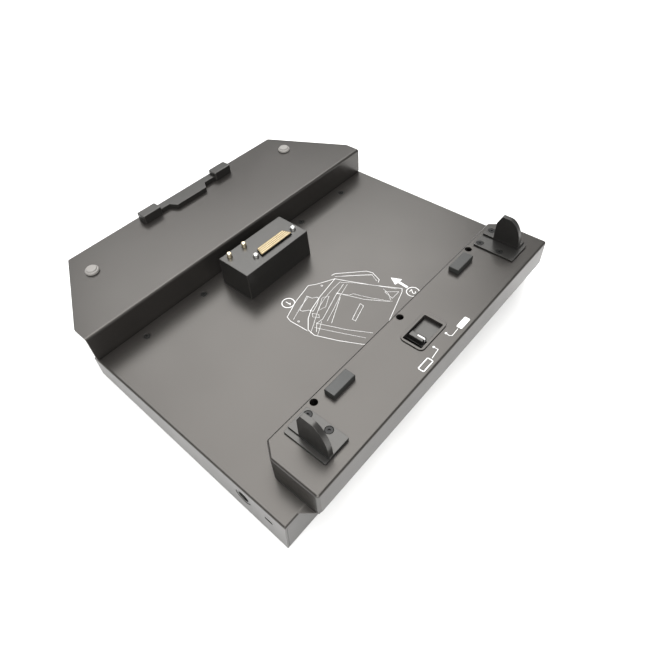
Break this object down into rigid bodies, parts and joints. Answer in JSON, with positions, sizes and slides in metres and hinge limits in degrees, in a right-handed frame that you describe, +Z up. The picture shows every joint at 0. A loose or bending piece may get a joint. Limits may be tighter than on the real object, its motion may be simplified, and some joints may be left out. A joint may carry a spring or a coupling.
{
  "type": "notebook docking station",
  "caption": "Wedge-shaped sheet-metal docking station for a notebook computer, with an overhanging front shelf, a raised connector block and a rear platform with guide fins.",
  "frame": {"origin": "on the table, under the middle of the overall box", "axes": "+X towards the user's right hand, +Y away from the user, +Z up"},
  "size_m": [0.33, 0.3132, 0.0943],
  "materials": {
    "paint": "satin charcoal paint on folded sheet",
    "moulding": "satin black",
    "rubber": "dull dark grey",
    "bumper": "light grey",
    "gold": "gold plated",
    "steel": "bright",
    "screw": "black oxide",
    "board": "green solder mask",
    "ribbon": "grey"
  },
  "bodies": {
    "station": {"base_tray": "paint", "bottom_cover": "paint", "front_shelf": "paint", "rear_platform": "paint", "selector_bezel": "paint", "connector_block": "moulding", "contact_insert": "moulding", "front_catch": "moulding", "guide_plate_right": "moulding", "guide_plate_left": "moulding", "guide_fin_right": "moulding", "guide_fin_left": "moulding", "selector_carrier": "moulding", "power_jack": "moulding", "rest_pad_right": "rubber", "rest_pad_left": "rubber", "foot_1": "rubber", "foot_2": "rubber", "foot_3": "rubber", "foot_4": "rubber", "bumper_right": "bumper", "bumper_left": "bumper", "contact_field": "gold", "power_barrel_right": "steel", "power_barrel_left": "steel", "guide_post_right": "steel", "guide_post_left": "steel", "detent_spring": "steel", "lock_plate": "steel", "network_socket": "steel", "usb_stack_1": "steel", "usb_stack_2": "steel", "display_socket": "steel", "video_socket": "steel", "serial_socket": "steel", "cover_screw_1": "screw", "cover_screw_2": "screw", "cover_screw_3": "screw", "cover_screw_4": "screw", "shelf_screw_1": "screw", "shelf_screw_2": "screw", "shelf_screw_3": "screw", "shelf_screw_4": "screw", "guide_screw_right_1": "screw", "guide_screw_right_2": "screw", "guide_screw_left_inner_1": "screw", "guide_screw_left_inner_2": "screw", "guide_screw_left_outer_1": "screw", "guide_screw_left_outer_2": "screw", "main_board": "board", "connector_board": "board", "link_ribbon": "ribbon"},
    "selector": {"selector_slider": "moulding"},
    "right_pin": {"power_pin_right": "gold"},
    "left_pin": {"power_pin_left": "gold"}
  },
  "joints": [
    {"name": "selector_slide", "type": "slide", "parent": "station", "child": "selector", "axis": [-1, 0, 0], "range_m": [0, 0.0163]},
    {"name": "right_pin_press", "type": "slide", "parent": "station", "child": "right_pin", "axis": [0, 0.0802, -0.9968], "range_m": [0, 0.0025], "stiffness_N_per_m": 400, "springref_m": -0.001},
    {"name": "left_pin_press", "type": "slide", "parent": "station", "child": "left_pin", "axis": [0, 0.0802, -0.9968], "range_m": [0, 0.0025], "stiffness_N_per_m": 400, "springref_m": -0.001}
  ]
}
